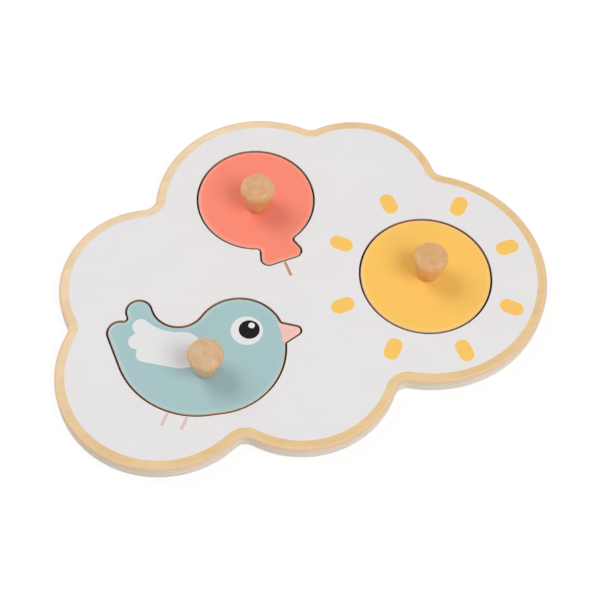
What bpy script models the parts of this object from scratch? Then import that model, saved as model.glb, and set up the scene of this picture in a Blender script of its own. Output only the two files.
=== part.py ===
"""Knob puzzle for a small child: a cloud-shaped plywood board with three inset pieces.

A sun, a balloon and a bird lie in saw-cut recesses of the board's face layer, on its backing
layer, and each lifts out by a turned beech knob. Run it in Blender's text editor, or with
blender --background --python part.py. Everything is in metres, +Z up, and the board rests on
Z = 0 with the middle of its outline at X = Y = 0.
"""

import math

import bmesh
import bpy

# Board layers, from the table up
BACKING_THICKNESS = 0.0038
GLUE_LINE = 0.0002
FACE_THICKNESS = 0.0070

# Cloud outline: the board over all, and its bare border round the printed field
BOARD_LENGTH = 0.3004
BOARD_WIDTH = 0.2316
BARE_BORDER = 0.0060
NOTCH_RADIUS = 0.0080

# Lobes of the printed field. Four reach a side of the board, and two stand back from one.
SUN_LOBE_RADIUS = 0.0675
SUN_LOBE_Y = -0.0120
CORNER_LOBE_RADIUS = 0.0454
CORNER_LOBE_X = 0.0462
CORNER_LOBE_FROM_BACK = 0.0091
BALLOON_LOBE_RADIUS = 0.0597
BALLOON_LOBE_X = -0.0137
LEFT_LOBE_RADIUS = 0.0491
LEFT_LOBE_FROM_LEFT = 0.0076
LEFT_LOBE_Y = 0.0032
BIRD_LOBE_RADIUS = 0.0553
FRONT_LOBE_RADIUS = 0.0524
FRONT_LOBE_X = -0.0076

# Rounding of the sanded edges
BOARD_ROUNDING = 0.0014
RECESS_ROUNDING = 0.0004
PIECE_ROUNDING = 0.0007

# Inset pieces, sawn out of the face layer
SAW_GAP = 0.0011
SEAT_CLEARANCE = 0.0003

# Sun: its centre from the board's right side, its size, and where its knob stands on it
SUN_FROM_RIGHT = 0.0740
SUN_Y = -0.0131
SUN_RADIUS = 0.0392
SUN_KNOB = (0.0014, 0.0012)

# Balloon: its round part's centre from the back, and mouth and knob along its leaning axis
BALLOON_FROM_BACK = 0.0601
BALLOON_X = -0.0169
BALLOON_LEAN = math.radians(12.5)
BALLOON_RADIUS = 0.0354
MOUTH_REACH = 0.0469
MOUTH_HALF_WIDTH = 0.0122
MOUTH_CORNER = 0.0040
NECK_HALF_WIDTH = 0.0103
NECK_HOLLOW = 0.0030
BALLOON_KNOB = (-0.0007, -0.0044)

# Bird, facing right: its knob from the board's left side, and its round parts from the knob
BIRD_FROM_LEFT = 0.0872
BIRD_Y = -0.0563
HEAD_CENTRE = (0.0220, 0.0173)
HEAD_RADIUS = 0.0260
BREAST_CENTRE = (0.0060, 0.0133)
BREAST_RADIUS = 0.0420
RUMP_CENTRE = (-0.0020, 0.0193)
RUMP_RADIUS = 0.0480
UPPER_TAIL_CENTRE = (-0.0340, 0.0433)
LOWER_TAIL_CENTRE = (-0.0465, 0.0308)
TAIL_TIP_RADIUS = 0.0070
NAPE_HOLLOW = 0.0170
TAIL_HOLLOW = 0.0030
BEAK_LENGTH = 0.0102
BEAK_TIP_RADIUS = 0.0026
BEAK_HOLLOW = 0.0022
BEAK_TOP_ANGLE = math.radians(16.0)
BEAK_BASE_ANGLE = math.radians(-5.5)

# Turned knob
KNOB_HEIGHT = 0.0212
KNOB_RADIUS = 0.0105
KNOB_FOOT_RADIUS = 0.0065
KNOB_LIP_WIDTH = 0.0034
KNOB_LIP_DROP = 0.0044
KNOB_DISH = 0.0003
SPIGOT_RADIUS = 0.0040
SPIGOT_LENGTH = 0.0024

# Countersunk screw that holds a knob from below
SCREW_HEAD_RADIUS = 0.0034
SCREW_SHANK_RADIUS = 0.0015
SCREW_LENGTH = 0.0170
SCREW_POINT = 0.0035
SCREW_RIM = 0.0003
CROSS_SLOT_LENGTH = 0.0036
CROSS_SLOT_WIDTH = 0.0008
CROSS_SLOT_DEPTH = 0.0012
SCREW_CLEARANCE = 0.0003

# Fineness of the facets
CHORD_ERROR = 0.00008
KNOB_STEPS = 32
SCREW_STEPS = 16
EDGE_SEGMENTS = 2
LIP_STEPS = 4
WELD_DISTANCE = 0.000001
CUTTER_OVERRUN = 0.0020
SHARP_ANGLE = math.radians(35.0)

# Heights that follow from the layers
FACE_BOTTOM = BACKING_THICKNESS + GLUE_LINE
BOARD_TOP = FACE_BOTTOM + FACE_THICKNESS
PIECE_BOTTOM = BACKING_THICKNESS + SEAT_CLEARANCE
PIECE_TOP = PIECE_BOTTOM + FACE_THICKNESS

PLYWOOD = (0.760, 0.527, 0.279)
PALE_PRINT = (0.791, 0.763, 0.774)
CORAL_PAINT = (0.947, 0.258, 0.174)
YELLOW_PAINT = (0.956, 0.546, 0.114)
TEAL_PAINT = (0.381, 0.552, 0.565)
BEECH = (0.680, 0.413, 0.202)
STEEL = (0.550, 0.550, 0.540)


def clear_scene():
    """Remove the objects and collections of the startup scene."""
    for old in list(bpy.data.objects):
        bpy.data.objects.remove(old, do_unlink=True)
    for old in list(bpy.data.collections):
        bpy.data.collections.remove(old)


def new_collection(name):
    """Make a collection in the scene."""
    collection = bpy.data.collections.new(name)
    bpy.context.scene.collection.children.link(collection)
    return collection


def make_material(name, colour, roughness, metallic=0.0):
    """Make a Principled material with one colour."""
    material = bpy.data.materials.new(name)
    material.use_nodes = True
    shader = material.node_tree.nodes["Principled BSDF"]
    shader.inputs["Base Color"].default_value = (*colour, 1.0)
    shader.inputs["Roughness"].default_value = roughness
    shader.inputs["Metallic"].default_value = metallic
    material.diffuse_color = (*colour, 1.0)
    return material


def arc_points(circle, start, sweep):
    """Points along an arc of a circle (x, y, radius); a negative radius is a hollow arc."""
    x, y, radius = circle
    finest = 2.0 * math.acos(1.0 - min(CHORD_ERROR / abs(radius), 1.0))
    count = max(2, math.ceil(abs(sweep) / finest))
    points = []
    for index in range(count + 1):
        angle = start + sweep * index / count
        points.append((x + radius * math.cos(angle), y + radius * math.sin(angle)))
    return points


def tangent_angle(first, second):
    """Direction from the circles' centres to the line that touches both on its left side."""
    across = second[0] - first[0]
    along = second[1] - first[1]
    ratio = (first[2] - second[2]) / math.hypot(across, along)
    return math.atan2(along, across) - math.acos(max(-1.0, min(1.0, ratio)))


def belt_outline(circles):
    """Closed outline that runs counter-clockwise round circles, like a belt round pulleys.

    A circle of negative radius lies outside the belt and presses a hollow into it.
    """
    if len(circles) == 1:
        return arc_points(circles[0], 0.0, math.tau)[:-1]
    leaving = []
    for index, circle in enumerate(circles):
        leaving.append(tangent_angle(circle, circles[(index + 1) % len(circles)]))
    points = []
    for index, circle in enumerate(circles):
        start = leaving[index - 1]
        if circle[2] > 0.0:
            sweep = (leaving[index] - start) % math.tau
        else:
            sweep = -((start - leaving[index]) % math.tau)
        for point in arc_points(circle, start, sweep):
            if not points or math.dist(point, points[-1]) > WELD_DISTANCE:
                points.append(point)
    if math.dist(points[0], points[-1]) <= WELD_DISTANCE:
        points.pop()
    return points


def grown(circles, distance):
    """The same outline, offset outwards by a distance; a hollow closes up to a corner at most."""
    offset = []
    for x, y, radius in circles:
        if radius > 0.0:
            offset.append((x, y, radius + distance))
        else:
            offset.append((x, y, min(radius + distance, -CHORD_ERROR)))
    return offset


def turned_point(point, angle):
    """A point turned about the origin."""
    cosine = math.cos(angle)
    sine = math.sin(angle)
    return (point[0] * cosine - point[1] * sine, point[0] * sine + point[1] * cosine)


def placed(circles, place, lean):
    """The same outline, turned by its lean about its own origin and moved to a place."""
    moved = []
    for x, y, radius in circles:
        across, along = turned_point((x, y), lean)
        moved.append((place[0] + across, place[1] + along, radius))
    return moved


def hollow_between(first, second, radius):
    """Hollow that touches two round parts, met one after the other counter-clockwise.

    Where the radius is too small to reach both, the hollow lies on the line between them.
    """
    across = second[0] - first[0]
    along = second[1] - first[1]
    apart = math.hypot(across, along)
    reach_first = first[2] + radius
    reach_second = second[2] + radius
    share = (reach_first**2 - reach_second**2 + apart**2) / (2.0 * apart)
    offset = math.sqrt(max(reach_first**2 - share**2, 0.0))
    x = first[0] + (share * across + offset * along) / apart
    y = first[1] + (share * along - offset * across) / apart
    return (x, y, -radius)


def hollow_on(circle, angle, radius):
    """Hollow that touches a round part at the given angle round its centre."""
    x, y, part_radius = circle
    reach = part_radius + radius
    return (x + reach * math.cos(angle), y + reach * math.sin(angle), -radius)


def cloud_lobes():
    """Lobes of the printed field, counter-clockwise from the sun's."""
    side = BOARD_LENGTH / 2.0 - BARE_BORDER
    back = BOARD_WIDTH / 2.0 - BARE_BORDER
    corner_back = back - CORNER_LOBE_FROM_BACK
    left_side = side - LEFT_LOBE_FROM_LEFT
    return [
        (side - SUN_LOBE_RADIUS, SUN_LOBE_Y, SUN_LOBE_RADIUS),
        (CORNER_LOBE_X, corner_back - CORNER_LOBE_RADIUS, CORNER_LOBE_RADIUS),
        (BALLOON_LOBE_X, back - BALLOON_LOBE_RADIUS, BALLOON_LOBE_RADIUS),
        (LEFT_LOBE_RADIUS - left_side, LEFT_LOBE_Y, LEFT_LOBE_RADIUS),
        (BIRD_LOBE_RADIUS - side, BIRD_LOBE_RADIUS - back, BIRD_LOBE_RADIUS),
        (FRONT_LOBE_X, FRONT_LOBE_RADIUS - back, FRONT_LOBE_RADIUS),
    ]


def cloud_circles():
    """Lobes of the board's outer edge, with a rounded notch between each two."""
    lobes = grown(cloud_lobes(), BARE_BORDER)
    circles = []
    for index, lobe in enumerate(lobes):
        circles.append(lobe)
        circles.append(hollow_between(lobe, lobes[(index + 1) % len(lobes)], NOTCH_RADIUS))
    return circles


def sun_circles():
    """The sun is one disc."""
    return [(0.0, 0.0, SUN_RADIUS)]


def balloon_circles():
    """The balloon's round part at the origin, with its flared mouth straight below it."""
    corner_side = MOUTH_HALF_WIDTH - MOUTH_CORNER
    corner_drop = MOUTH_REACH - MOUTH_CORNER
    hollow_side = NECK_HALF_WIDTH + NECK_HOLLOW
    hollow_drop = math.sqrt((BALLOON_RADIUS + NECK_HOLLOW) ** 2 - hollow_side**2)
    return [
        (0.0, 0.0, BALLOON_RADIUS),
        (-hollow_side, -hollow_drop, -NECK_HOLLOW),
        (-corner_side, -corner_drop, MOUTH_CORNER),
        (corner_side, -corner_drop, MOUTH_CORNER),
        (hollow_side, -hollow_drop, -NECK_HOLLOW),
    ]


def bird_circles():
    """Beak, head, nape, two tail tips, rump and breast, counter-clockwise from the beak."""
    head = (*HEAD_CENTRE, HEAD_RADIUS)
    breast = (*BREAST_CENTRE, BREAST_RADIUS)
    upper_tail = (*UPPER_TAIL_CENTRE, TAIL_TIP_RADIUS)
    lower_tail = (*LOWER_TAIL_CENTRE, TAIL_TIP_RADIUS)
    beak_reach = HEAD_RADIUS + BEAK_LENGTH - BEAK_TIP_RADIUS
    return [
        (HEAD_CENTRE[0] + beak_reach, HEAD_CENTRE[1], BEAK_TIP_RADIUS),
        hollow_on(head, BEAK_TOP_ANGLE, BEAK_HOLLOW),
        head,
        hollow_between(head, upper_tail, NAPE_HOLLOW),
        upper_tail,
        hollow_between(upper_tail, lower_tail, TAIL_HOLLOW),
        lower_tail,
        (*RUMP_CENTRE, RUMP_RADIUS),
        breast,
        hollow_on(breast, BEAK_BASE_ANGLE, BEAK_HOLLOW),
    ]


def puzzle_pieces():
    """Each piece's name, outline, place, lean, knob place on the piece, and paint."""
    sun_place = (BOARD_LENGTH / 2.0 - SUN_FROM_RIGHT, SUN_Y)
    balloon_place = (BALLOON_X, BOARD_WIDTH / 2.0 - BALLOON_FROM_BACK)
    bird_place = (BIRD_FROM_LEFT - BOARD_LENGTH / 2.0, BIRD_Y)
    return (
        ("sun", sun_circles(), sun_place, 0.0, SUN_KNOB, YELLOW_PAINT),
        ("balloon", balloon_circles(), balloon_place, BALLOON_LEAN, BALLOON_KNOB, CORAL_PAINT),
        ("bird", bird_circles(), bird_place, 0.0, (0.0, 0.0), TEAL_PAINT),
    )


def plate(name, outlines, bottom, thickness, collection):
    """Flat plate from closed outlines, the first its edge and the others holes through it."""
    curve = bpy.data.curves.new(name, "CURVE")
    curve.dimensions = "2D"
    curve.fill_mode = "BOTH"
    curve.extrude = thickness / 2.0
    for outline in outlines:
        spline = curve.splines.new("POLY")
        spline.points.add(len(outline) - 1)
        for point, (x, y) in zip(spline.points, outline):
            point.co = (x, y, 0.0, 1.0)
        spline.use_cyclic_u = True
    drawn = bpy.data.objects.new(name + "_outline", curve)
    collection.objects.link(drawn)
    bpy.context.view_layer.update()
    graph = bpy.context.evaluated_depsgraph_get()
    mesh = bpy.data.meshes.new_from_object(drawn.evaluated_get(graph))
    bpy.data.objects.remove(drawn, do_unlink=True)
    bpy.data.curves.remove(curve)
    bm = bmesh.new()
    bm.from_mesh(mesh)
    bmesh.ops.remove_doubles(bm, verts=bm.verts, dist=WELD_DISTANCE)
    bmesh.ops.translate(bm, verts=bm.verts, vec=(0.0, 0.0, bottom + thickness / 2.0))
    bmesh.ops.recalc_face_normals(bm, faces=bm.faces)
    bm.to_mesh(mesh)
    bm.free()
    mesh.name = name
    made = bpy.data.objects.new(name, mesh)
    collection.objects.link(made)
    return made


def rim_edges(bm, height, outline=None):
    """Edges between a plate's side walls and its flat face at a height.

    With an outline given, only the edges whose ends both lie on it.
    """
    found = []
    for edge in bm.edges:
        level = all(abs(vert.co.z - height) < WELD_DISTANCE for vert in edge.verts)
        if not level or len(edge.link_faces) != 2:
            continue
        upright = [abs(face.normal.z) < 0.5 for face in edge.link_faces]
        if upright[0] == upright[1]:
            continue
        if outline and not all(on_outline(vert.co, outline) for vert in edge.verts):
            continue
        found.append(edge)
    return found


def on_outline(position, outline):
    """Whether a vertex is one of an outline's points."""
    return any(math.dist((position.x, position.y), point) < 10.0 * WELD_DISTANCE for point in outline)


def round_rim(made, height, radius, segments=EDGE_SEGMENTS, outline=None):
    """Round the edge of a plate at one height."""
    bm = bmesh.new()
    bm.from_mesh(made.data)
    bmesh.ops.bevel(
        bm,
        geom=rim_edges(bm, height, outline),
        offset=radius,
        offset_type="OFFSET",
        segments=segments,
        profile=0.5,
        affect="EDGES",
        material=-1,
        clamp_overlap=False,
    )
    bm.to_mesh(made.data)
    bm.free()


def smooth_round(made):
    """Shade a round piece smooth and keep its real corners sharp."""
    made.data.shade_smooth()
    made.data.set_sharp_from_angle(angle=SHARP_ANGLE)


def turned(name, profile, steps, collection):
    """Solid of revolution about Z from a profile of (radius, height), top to bottom."""
    mesh = bpy.data.meshes.new(name)
    bm = bmesh.new()
    verts = [bm.verts.new((radius, 0.0, height)) for radius, height in profile]
    for upper, lower in zip(verts, verts[1:]):
        bm.edges.new((upper, lower))
    bm.to_mesh(mesh)
    bm.free()
    made = bpy.data.objects.new(name, mesh)
    collection.objects.link(made)
    screw = made.modifiers.new("Turning", "SCREW")
    screw.axis = "Z"
    screw.angle = math.tau
    screw.steps = steps
    screw.render_steps = steps
    screw.use_merge_vertices = True
    screw.merge_threshold = WELD_DISTANCE
    screw.use_smooth_shade = True
    return made


def cut(made, cutter):
    """Cut one object out of another and keep the cutter as a hidden guide."""
    cutter.hide_render = True
    cutter.display_type = "WIRE"
    boolean = made.modifiers.new("Cut by " + cutter.name, "BOOLEAN")
    boolean.operation = "DIFFERENCE"
    boolean.solver = "EXACT"
    boolean.object = cutter


def knob_profile():
    """Turned knob above the piece's top (height 0), its spigot and the screw's bore below."""
    top_radius = KNOB_RADIUS - KNOB_LIP_WIDTH
    widest = KNOB_HEIGHT - KNOB_LIP_DROP
    dish_radius = top_radius - KNOB_LIP_WIDTH
    profile = [(0.0, KNOB_HEIGHT - KNOB_DISH), (dish_radius, KNOB_HEIGHT - KNOB_DISH)]
    for step in range(LIP_STEPS + 1):
        angle = math.pi / 2.0 * (1.0 - step / LIP_STEPS)
        across = KNOB_LIP_WIDTH * math.cos(angle)
        profile.append((top_radius + across, widest + KNOB_LIP_DROP * math.sin(angle)))
    bore_radius = SCREW_SHANK_RADIUS + SCREW_CLEARANCE
    bore_top = screw_tip_height() + SCREW_CLEARANCE
    profile += [
        (KNOB_FOOT_RADIUS, SEAT_CLEARANCE),
        (SPIGOT_RADIUS, SEAT_CLEARANCE),
        (SPIGOT_RADIUS, -SPIGOT_LENGTH),
        (bore_radius, -SPIGOT_LENGTH),
        (bore_radius, bore_top),
        (0.0, bore_top + bore_radius),
    ]
    return profile


def screw_seat_height():
    """Height of the screw head's flat face, just inside the piece's underside."""
    return -FACE_THICKNESS + SCREW_CLEARANCE


def screw_tip_height():
    """Height that the screw's point reaches in the knob."""
    return screw_seat_height() + SCREW_LENGTH


def screw_profile():
    """Countersunk wood screw, point up, head flush with the piece's underside."""
    seat = screw_seat_height()
    rim = seat + SCREW_RIM
    cone = rim + SCREW_HEAD_RADIUS - SCREW_SHANK_RADIUS
    return [
        (0.0, screw_tip_height()),
        (SCREW_SHANK_RADIUS, screw_tip_height() - SCREW_POINT),
        (SCREW_SHANK_RADIUS, cone),
        (SCREW_HEAD_RADIUS, rim),
        (SCREW_HEAD_RADIUS, seat),
        (0.0, seat),
    ]


def fixing_cutter_profile():
    """Stepped hole through a piece: spigot hole, screw hole and countersink."""
    spigot_hole = SPIGOT_RADIUS + SEAT_CLEARANCE
    screw_hole = SCREW_SHANK_RADIUS + SCREW_CLEARANCE
    sink_rim = SCREW_HEAD_RADIUS + SCREW_CLEARANCE
    rim_height = screw_seat_height() + SCREW_RIM
    hole_floor = -SPIGOT_LENGTH - SEAT_CLEARANCE
    return [
        (0.0, CUTTER_OVERRUN),
        (spigot_hole, CUTTER_OVERRUN),
        (spigot_hole, hole_floor),
        (screw_hole, hole_floor),
        (screw_hole, rim_height + sink_rim - screw_hole),
        (sink_rim, rim_height),
        (sink_rim, -FACE_THICKNESS - CUTTER_OVERRUN),
        (0.0, -FACE_THICKNESS - CUTTER_OVERRUN),
    ]


def slot_bar(name, length, width, collection):
    """One bar of the cross-shaped driver recess, standing in the screw's head."""
    mesh = bpy.data.meshes.new(name)
    bm = bmesh.new()
    bmesh.ops.create_cube(bm, size=1.0)
    bmesh.ops.scale(bm, verts=bm.verts, vec=(length, width, 2.0 * CROSS_SLOT_DEPTH))
    bm.to_mesh(mesh)
    bm.free()
    bar = bpy.data.objects.new(name, mesh)
    bar.location.z = screw_seat_height()
    collection.objects.link(bar)
    return bar


def driver_slots(screw, collection):
    """Cross-shaped driver recess in a screw's head."""
    along = slot_bar(screw.name + "_slot_along", CROSS_SLOT_LENGTH, CROSS_SLOT_WIDTH, collection)
    across = slot_bar(screw.name + "_slot_across", CROSS_SLOT_WIDTH, CROSS_SLOT_LENGTH, collection)
    cut(screw, along)
    cut(screw, across)
    return [along, across]


def lift_out_piece(name, circles, place, lean, knob, paint, fixings, parts, cutters):
    """A painted piece with its knob and screw, all carried by an empty on the lifting axis."""
    beech, steel = fixings
    knob_offset = turned_point(knob, lean)
    lift = bpy.data.objects.new(name + "_lift", None)
    lift.location = (place[0] + knob_offset[0], place[1] + knob_offset[1], PIECE_TOP)
    lift.empty_display_size = KNOB_HEIGHT
    parts.objects.link(lift)

    outline = belt_outline(placed(circles, (-knob_offset[0], -knob_offset[1]), lean))
    piece = plate(name + "_piece", [outline], -FACE_THICKNESS, FACE_THICKNESS, parts)
    round_rim(piece, 0.0, PIECE_ROUNDING)
    round_rim(piece, -FACE_THICKNESS, PIECE_ROUNDING)
    smooth_round(piece)
    piece.data.materials.append(make_material(name + "_paint", paint, 0.5))
    fixing_hole = turned(name + "_fixing_hole", fixing_cutter_profile(), SCREW_STEPS, cutters)
    cut(piece, fixing_hole)

    turned_knob = turned(name + "_knob", knob_profile(), KNOB_STEPS, parts)
    turned_knob.data.materials.append(beech)

    screw = turned(name + "_knob_screw", screw_profile(), SCREW_STEPS, parts)
    screw.data.materials.append(steel)
    slots = driver_slots(screw, cutters)

    for carried in (piece, turned_knob, screw, fixing_hole, *slots):
        carried.parent = lift


def board(parts):
    """Backing layer, and face layer with a recess for each piece."""
    edge = belt_outline(cloud_circles())
    backing = plate("backing_panel", [edge], 0.0, BACKING_THICKNESS, parts)
    round_rim(backing, 0.0, BOARD_ROUNDING)
    smooth_round(backing)
    backing.data.materials.append(make_material("bare_plywood", PLYWOOD, 0.62))

    recesses = []
    for _name, circles, place, lean, _knob, _paint in puzzle_pieces():
        recesses.append(belt_outline(grown(placed(circles, place, lean), SAW_GAP)))
    face = plate("face_panel", [edge, *recesses], FACE_BOTTOM, FACE_THICKNESS, parts)
    round_rim(face, BOARD_TOP, BOARD_ROUNDING, outline=edge)
    for recess in recesses:
        round_rim(face, BOARD_TOP, RECESS_ROUNDING, segments=1, outline=recess)
    smooth_round(face)
    face.data.materials.append(make_material("printed_plywood", PALE_PRINT, 0.55))


def main():
    clear_scene()
    parts = new_collection("knob_puzzle")
    cutters = new_collection("cutters")
    board(parts)
    beech = make_material("turned_beech", BEECH, 0.5)
    steel = make_material("steel", STEEL, 0.35, metallic=1.0)
    for name, circles, place, lean, knob, paint in puzzle_pieces():
        lift_out_piece(name, circles, place, lean, knob, paint, (beech, steel), parts, cutters)


main()
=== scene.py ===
"""Knob puzzle: a cloud-shaped wooden board with a sun, a balloon and a bird that lift out.

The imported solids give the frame, and each of them is dressed here by a finer piece in its own
place: printed faces, bare edges of plywood, turned beech knobs and threaded screws. Lengths are
in metres, +Z is up, and the board rests on Z = 0.
"""

import math

import bmesh
import bpy
from bpy.props import FloatProperty, FloatVectorProperty, IntProperty, PointerProperty
from bpy.types import Operator, Panel, PropertyGroup
from mathutils import Matrix, Vector


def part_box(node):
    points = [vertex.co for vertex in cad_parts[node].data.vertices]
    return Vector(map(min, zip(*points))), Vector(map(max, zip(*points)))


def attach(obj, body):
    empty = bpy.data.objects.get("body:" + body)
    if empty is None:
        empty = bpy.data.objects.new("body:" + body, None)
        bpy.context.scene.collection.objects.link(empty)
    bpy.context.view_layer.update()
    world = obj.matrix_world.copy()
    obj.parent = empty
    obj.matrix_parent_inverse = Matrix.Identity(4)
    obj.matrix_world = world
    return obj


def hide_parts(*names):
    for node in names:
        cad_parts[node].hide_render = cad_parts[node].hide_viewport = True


bl_info = {
    "name": "Knob Puzzle",
    "version": (1, 0, 0),
    "blender": (4, 5, 0),
    "location": "View3D > Sidebar > Knob Puzzle",
    "description": "Builds a cloud-shaped wooden knob puzzle with a sun, a balloon and a bird",
    "category": "Add Mesh",
}

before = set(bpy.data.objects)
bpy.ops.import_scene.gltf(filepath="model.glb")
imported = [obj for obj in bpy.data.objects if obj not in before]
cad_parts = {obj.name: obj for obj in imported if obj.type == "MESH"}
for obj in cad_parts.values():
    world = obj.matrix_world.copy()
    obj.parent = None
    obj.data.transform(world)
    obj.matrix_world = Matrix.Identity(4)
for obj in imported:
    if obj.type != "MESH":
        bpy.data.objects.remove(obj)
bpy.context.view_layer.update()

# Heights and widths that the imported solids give
BACKING_LOW, BACKING_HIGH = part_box("backing_panel")
FACE_LOW, FACE_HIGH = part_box("face_panel")
SUN_LOW, SUN_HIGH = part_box("sun_piece")
KNOB_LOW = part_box("sun_knob")[0]
SCREW_LOW, SCREW_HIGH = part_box("sun_knob_screw")
BOARD_TOP = FACE_HIGH.z
PIECE_BOTTOM = SUN_LOW.z
PIECE_TOP = SUN_HIGH.z
SCREW_HEAD_RADIUS = (SCREW_HIGH.x - SCREW_LOW.x) / 2.0

# Lobes of the printed field: centre and radius, counter-clockwise from the sun's
CLOUD_LOBES = (
    (0.0767, -0.0120, 0.0675),
    (0.0462, 0.0553, 0.0454),
    (-0.0137, 0.0501, 0.0597),
    (-0.0875, 0.0032, 0.0491),
    (-0.0889, -0.0545, 0.0553),
    (-0.0076, -0.0574, 0.0524),
)

# Balloon: its round part's place, and its mouth along its own leaning axis
BALLOON_PLACE = (-0.0169, 0.0557)
BALLOON_LEAN = math.radians(12.5)
BALLOON_RADIUS = 0.0354
MOUTH_REACH = 0.0469
MOUTH_HALF_WIDTH = 0.0122
MOUTH_CORNER = 0.0040
NECK_HALF_WIDTH = 0.0103
NECK_HOLLOW = 0.0030

# Bird, facing +X: its knob's place, and the round parts of its outline from there
BIRD_PLACE = (-0.0630, -0.0563)
HEAD = (0.0220, 0.0173, 0.0260)
BREAST = (0.0060, 0.0133, 0.0420)
RUMP = (-0.0020, 0.0193, 0.0480)
UPPER_TAIL = (-0.0340, 0.0433, 0.0070)
LOWER_TAIL = (-0.0465, 0.0308, 0.0070)
NAPE_HOLLOW = 0.0170
TAIL_HOLLOW = 0.0030
BEAK_LENGTH = 0.0102
BEAK_TIP_RADIUS = 0.0026
BEAK_HOLLOW = 0.0022
BEAK_TOP_ANGLE = math.radians(16.0)
BEAK_BASE_ANGLE = math.radians(-5.5)

# The bird's printed wing, eye and beak, from its knob's place
WING_ROOT = (-0.0120, 0.0140, 0.0120)
FEATHERS = ((-0.0340, 0.0330, 0.0050), (-0.0375, 0.0235, 0.0050), (-0.0340, 0.0145, 0.0050))
WING_HOLLOW = 0.0260
FEATHER_HOLLOW = 0.0012
EYE_WHITE = (0.0270, 0.0213, 0.0095)
EYE_BLACK = (0.0285, 0.0218, 0.0062)
EYE_GLINT = (0.0303, 0.0243, 0.0019)
BEAK_ARC_RADIUS = 0.0260

# Rays that are printed a little off their even spacing: number and turn
STRAY_RAYS = {2: math.radians(1.4), 7: math.radians(-1.7)}

# Printed string and legs, which start just outside their recesses
PRINT_GAP = 0.00012
STRING_WIDTH = 0.0018
STRING_LENGTH = 0.0088
LEG_WIDTH = 0.0018
LEG_LENGTH = 0.0070
LEG_SLANT = math.radians(239.3)
LEG_ANGLES = (math.radians(242.0), math.radians(255.0))

# Knobs and screws
KNOB_SEAT_GAP = 0.0003
RIM_STEPS = 4
DISH_STEPS = 8
LIP_STEPS = 12
TAPER_STEPS = 16
KNOB_STEPS = 96
SCREW_SHANK_RADIUS = 0.0015
SCREW_RIM = 0.0003
SCREW_POINT = 0.0035
SCREW_TIP_RADIUS = 0.0001
THREAD_ROOT = 0.0011
THREAD_PITCH = 0.0012
THREAD_WIDTH = 0.0011
THREAD_STEPS = 24
DRIVER_ARM = 0.0018
DRIVER_HALF_WIDTH = 0.0004
DRIVER_CORNER = 0.00012
DRIVER_DEPTH = 0.0012
DRIVER_TAPER = 0.0002

# Growth rings of each knob: their pith from the knob's axis, and how far the grain is turned
KNOB_GRAIN = {
    "sun": ((0.0012, 0.0020), 0.3),
    "balloon": ((-0.0010, 0.0130), 1.1),
    "bird": ((0.0020, -0.0090), 2.0),
}

# Fineness of the meshes, and how many steps of a piece's upper rounding are bare wood
ARC_FINENESS = 0.009
ARC_STEPS = 12
ROUNDING_STEPS = 9
BARE_STEPS = 3
WELD_DISTANCE = 0.000001
SHARP_ANGLE = math.radians(35.0)

# Material numbers on the backing panel, on the face panel, on the pieces and on the knobs
BACKING_VENEER, BACKING_EDGE = range(2)
FIELD, BORDER, FACE_EDGE, SAWN_WALL, RAY, STRING, LEG = range(7)
TOP, UNDERSIDE, PIECE_EDGE, BARE_RIM, WORN, WHITE, BLACK, PINK, WORN_PINK = range(9)
KNOB_SIDE, KNOB_END = range(2)

# Relief of the wood grain
BUMP_DEPTH = 0.00003

# Plywood edges: heights at which the plies begin, from the bottom up, and the edge's top; how
# far a ply's height wanders; and how far two plies run into each other, as a share of the edge
BACKING_PLIES = (BACKING_LOW.z, 0.0012, 0.0021, BACKING_HIGH.z)
FACE_PLIES = (FACE_LOW.z, 0.0047, 0.0063, 0.0070, 0.0096, BOARD_TOP)
PLY_WANDER = 0.0004
PLY_BLUR = 0.04

# Sawn walls, darker towards the bottom with scorched wood and painted shade of the narrow gap:
# where they turn paler and how pale, as shares of the wall's height and of its upper colour; how
# far two tones run into each other; and the specular level
SCORCH_AND_SHADE_FADING = ((0.48, 0.5), (0.76, 1.0))
SCORCH_AND_SHADE_BLUR = 0.2
SAWN_SPECULAR = 0.03

# Print, and print that is sanded round: roughness from rough to smooth and specular level, and how
# far painted sheen turns the sanded print towards white
PRINT_FINISH = (0.56, 0.46, 0.12)
WORN_FINISH = (0.48, 0.38, 0.45)
SANDED_PRINT_SHEEN = 0.03

# Tints: none at all, and those of the grain in print, veneer and the plies
NO_TINT = (1.0, 1.0, 1.0)
PRINT_GRAIN = (0.985, 0.985, 0.985)
VENEER_GRAIN = (0.94, 0.915, 0.88)
PLY_PATCH = (0.95, 0.93, 0.90)
PLY_FIBRE = (0.94, 0.92, 0.89)

# Painted sheen on the veneer: the tint where it is weakest, and from where and how far it pales
VENEER_LEAST_SHEEN = (0.925, 0.848, 0.656)
PAINTED_SHEEN_START = (-0.014, 0.014, 0.0)
PAINTED_SHEEN_SPAN = (0.080, 1.0, 1.0)

# Tints of beech's end grain, warm patches, late wood and pores
END_GRAIN = (0.86, 0.90, 0.99)
WARM_PATCH = (0.96, 0.86, 0.72)
LATE_WOOD = (0.96, 0.935, 0.90)
BEECH_PORE = (0.88, 0.83, 0.77)

# Lamps: name, azimuth (as the camera's), elevation, side, and share of the light on the board
LAMPS = (
    ("key_back_left", math.radians(224.0), math.radians(46.0), 1.15, 0.31),
    ("key_front_right", math.radians(46.0), math.radians(53.0), 1.15, 0.36),
    ("fill_front", math.radians(8.0), math.radians(24.0), 2.00, 0.03),
)
LAMP_DISTANCE = 2.0
WORLD_FILL = 0.34

# Floor: its side, and the strength and the share of the white that the camera sees in it
FLOOR_SIZE = 6.0
FLOOR_GLOW = 1.08
FLOOR_GLOW_SHARE = 0.75


def srgb(red, green, blue):
    """Linear colour from the 0 to 255 values that a picture shows."""
    linear = []
    for level in (red, green, blue):
        share = level / 255.0
        linear.append(share / 12.92 if share <= 0.04045 else ((share + 0.055) / 1.055) ** 2.4)
    return tuple(linear)


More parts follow.
